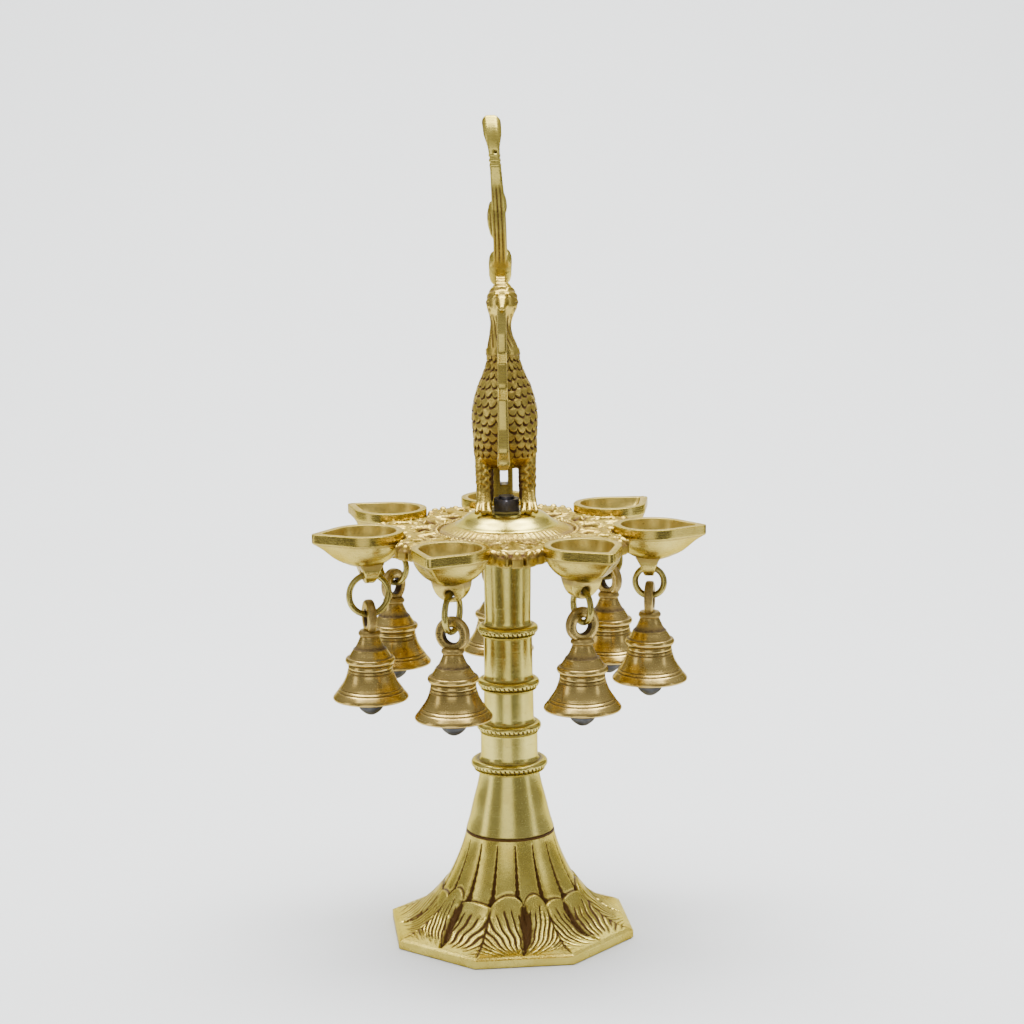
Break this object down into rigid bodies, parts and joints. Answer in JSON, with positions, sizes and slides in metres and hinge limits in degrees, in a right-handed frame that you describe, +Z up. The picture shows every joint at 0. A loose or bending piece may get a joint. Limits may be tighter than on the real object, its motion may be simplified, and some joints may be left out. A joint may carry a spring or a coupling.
{
  "type": "standing oil lamp",
  "caption": "Brass standing oil lamp: lotus base, ringed stem, openwork tray of wick wells with hanging bells, peacock finial.",
  "frame": {"origin": "on the stem's axis at the floor, the plane of the base's flat underside", "axes": "+Z up the stem; the peacock's breast faces -Y; +X is to the right seen from the front"},
  "size_m": [0.2023, 0.2005, 0.4301],
  "materials": {
    "polished_brass": "satin polished",
    "carved_brass": "cast and carved, brown patina in the grooves, polished ridges",
    "wire_brass": "drawn wire, slightly dulled",
    "bell_bronze": "turned, brown tone",
    "dark_iron": "dull dark grey",
    "steel": "dull grey"
  },
  "bodies": {
    "stand": {"lotus_base": "carved_brass", "tie_rod": "steel", "base_nut": "steel", "base_washer": "steel", "stem_foot": "polished_brass", "openwork_tray": "carved_brass", "dome": "polished_brass", "top_nut": "steel", "peacock": "carved_brass", "peacock_tail": "carved_brass", "serpent": "carved_brass", "stem_tube_1": "polished_brass", "stem_tube_2": "polished_brass", "stem_tube_3": "polished_brass", "stem_tube_4": "polished_brass", "rope_collar_1": "polished_brass", "rope_collar_2": "polished_brass", "rope_collar_3": "polished_brass", "rope_collar_4": "polished_brass", "oil_bowl_1": "polished_brass", "oil_bowl_2": "polished_brass", "oil_bowl_3": "polished_brass", "oil_bowl_4": "polished_brass", "oil_bowl_5": "polished_brass", "oil_bowl_6": "polished_brass", "oil_bowl_7": "polished_brass"},
    "ring_1": {"ring_1": "wire_brass"},
    "bell_1": {"bell_1": "bell_bronze", "clapper_staple_1": "wire_brass"},
    "clapper_1": {"clapper_1": "dark_iron"},
    "ring_2": {"ring_2": "wire_brass"},
    "bell_2": {"bell_2": "bell_bronze", "clapper_staple_2": "wire_brass"},
    "clapper_2": {"clapper_2": "dark_iron"},
    "ring_3": {"ring_3": "wire_brass"},
    "bell_3": {"bell_3": "bell_bronze", "clapper_staple_3": "wire_brass"},
    "clapper_3": {"clapper_3": "dark_iron"},
    "ring_4": {"ring_4": "wire_brass"},
    "bell_4": {"bell_4": "bell_bronze", "clapper_staple_4": "wire_brass"},
    "clapper_4": {"clapper_4": "dark_iron"},
    "ring_5": {"ring_5": "wire_brass"},
    "bell_5": {"bell_5": "bell_bronze", "clapper_staple_5": "wire_brass"},
    "clapper_5": {"clapper_5": "dark_iron"},
    "ring_6": {"ring_6": "wire_brass"},
    "bell_6": {"bell_6": "bell_bronze", "clapper_staple_6": "wire_brass"},
    "clapper_6": {"clapper_6": "dark_iron"},
    "ring_7": {"ring_7": "wire_brass"},
    "bell_7": {"bell_7": "bell_bronze", "clapper_staple_7": "wire_brass"},
    "clapper_7": {"clapper_7": "dark_iron"}
  },
  "joints": [
    {"name": "ring_1_swing", "type": "hinge", "parent": "stand", "child": "ring_1", "pos_m": [-0.06147, 0.04209, 0.1981], "axis": [-0.8251, 0.565, 0], "range_deg": [-22, 22]},
    {"name": "bell_1_swing", "type": "hinge", "parent": "ring_1", "child": "bell_1", "pos_m": [-0.06147, 0.04209, 0.1892], "axis": [0.565, 0.8251, 0], "range_deg": [-20, 45]},
    {"name": "clapper_1_swing", "type": "hinge", "parent": "bell_1", "child": "clapper_1", "pos_m": [-0.06147, 0.04209, 0.1616], "axis": [0.565, 0.8251, 0], "range_deg": [-20, 20]},
    {"name": "ring_2_swing", "type": "hinge", "parent": "stand", "child": "ring_2", "pos_m": [-0.07123, -0.02182, 0.1981], "axis": [-0.9562, -0.2928, 0], "range_deg": [-22, 22]},
    {"name": "bell_2_swing", "type": "hinge", "parent": "ring_2", "child": "bell_2", "pos_m": [-0.07123, -0.02182, 0.18765], "axis": [-0.2928, 0.9562, 0], "range_deg": [-20, 45]},
    {"name": "clapper_2_swing", "type": "hinge", "parent": "bell_2", "child": "clapper_2", "pos_m": [-0.07123, -0.02182, 0.1585], "axis": [-0.2928, 0.9562, 0], "range_deg": [-20, 20]},
    {"name": "ring_3_swing", "type": "hinge", "parent": "stand", "child": "ring_3", "pos_m": [-0.02736, -0.0693, 0.1981], "axis": [-0.3672, -0.9301, 0], "range_deg": [-22, 22]},
    {"name": "bell_3_swing", "type": "hinge", "parent": "ring_3", "child": "bell_3", "pos_m": [-0.02736, -0.0693, 0.1883], "axis": [-0.9301, 0.3672, 0], "range_deg": [-20, 45]},
    {"name": "clapper_3_swing", "type": "hinge", "parent": "bell_3", "child": "clapper_3", "pos_m": [-0.02736, -0.0693, 0.1598], "axis": [-0.9301, 0.3672, 0], "range_deg": [-20, 20]},
    {"name": "ring_4_swing", "type": "hinge", "parent": "stand", "child": "ring_4", "pos_m": [0.03712, -0.06459, 0.1981], "axis": [0.4983, -0.867, 0], "range_deg": [-22, 22]},
    {"name": "bell_4_swing", "type": "hinge", "parent": "ring_4", "child": "bell_4", "pos_m": [0.03712, -0.06459, 0.18985], "axis": [-0.867, -0.4983, 0], "range_deg": [-20, 45]},
    {"name": "clapper_4_swing", "type": "hinge", "parent": "bell_4", "child": "clapper_4", "pos_m": [0.03712, -0.06459, 0.1629], "axis": [-0.867, -0.4983, 0], "range_deg": [-20, 20]},
    {"name": "ring_5_swing", "type": "hinge", "parent": "stand", "child": "ring_5", "pos_m": [0.07365, -0.01125, 0.1981], "axis": [0.9885, -0.151, 0], "range_deg": [-22, 22]},
    {"name": "bell_5_swing", "type": "hinge", "parent": "ring_5", "child": "bell_5", "pos_m": [0.07365, -0.01125, 0.1906], "axis": [-0.151, -0.9885, 0], "range_deg": [-20, 45]},
    {"name": "clapper_5_swing", "type": "hinge", "parent": "bell_5", "child": "clapper_5", "pos_m": [0.07365, -0.01125, 0.1644], "axis": [-0.151, -0.9885, 0], "range_deg": [-20, 20]},
    {"name": "ring_6_swing", "type": "hinge", "parent": "stand", "child": "ring_6", "pos_m": [0.05471, 0.05056, 0.1981], "axis": [0.7344, 0.6787, 0], "range_deg": [-22, 22]},
    {"name": "bell_6_swing", "type": "hinge", "parent": "ring_6", "child": "bell_6", "pos_m": [0.05471, 0.05056, 0.1892], "axis": [0.6787, -0.7344, 0], "range_deg": [-20, 45]},
    {"name": "clapper_6_swing", "type": "hinge", "parent": "bell_6", "child": "clapper_6", "pos_m": [0.05471, 0.05056, 0.1616], "axis": [0.6787, -0.7344, 0], "range_deg": [-20, 20]},
    {"name": "ring_7_swing", "type": "hinge", "parent": "stand", "child": "ring_7", "pos_m": [-0.00542, 0.0743, 0.1981], "axis": [-0.0727, 0.9974, 0], "range_deg": [-22, 22]},
    {"name": "bell_7_swing", "type": "hinge", "parent": "ring_7", "child": "bell_7", "pos_m": [-0.00542, 0.0743, 0.1887], "axis": [0.9974, 0.0727, 0], "range_deg": [-20, 45]},
    {"name": "clapper_7_swing", "type": "hinge", "parent": "bell_7", "child": "clapper_7", "pos_m": [-0.00542, 0.0743, 0.1606], "axis": [0.9974, 0.0727, 0], "range_deg": [-20, 20]}
  ]
}
